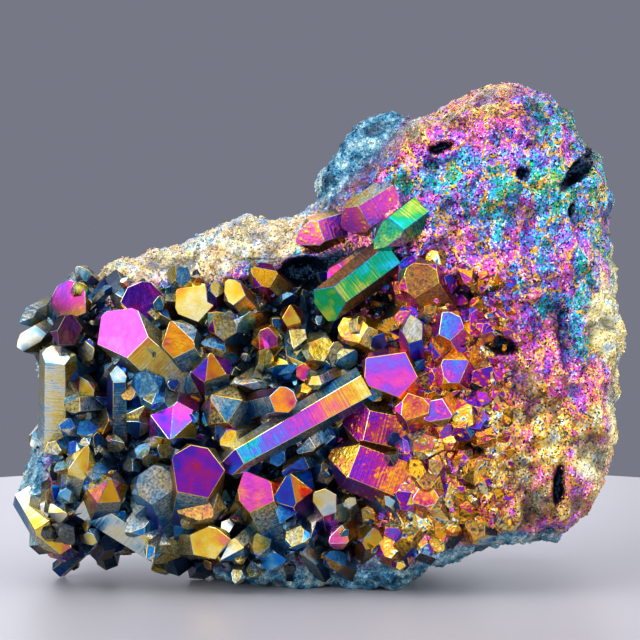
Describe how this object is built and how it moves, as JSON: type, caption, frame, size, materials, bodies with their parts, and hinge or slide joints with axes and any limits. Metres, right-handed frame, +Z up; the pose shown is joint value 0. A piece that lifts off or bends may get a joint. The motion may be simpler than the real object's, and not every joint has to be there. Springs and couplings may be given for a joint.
{
  "type": "aura amethyst druzy",
  "caption": "Boot-shaped crust of quartz crystals with a rainbow metal-film coating; rests on a flat cut underneath",
  "frame": {"origin": "bottom centre of the bounding box, at the height of the flat cut that the cluster rests on", "axes": "+X to the right along the longest side, with the low lobe of crystals at -X and the tall lobe at +X; +Y to the back, so the crystal side faces -Y; +Z up"},
  "size_m": [0.1222, 0.0612, 0.0999],
  "materials": {
    "coated_quartz": "iridescent metal-vapour film on quartz, mirror-smooth on the crystal faces and granular on the crust"
  },
  "bodies": {
    "root": {"druzy_cluster": "coated_quartz"}
  },
  "joints": []
}
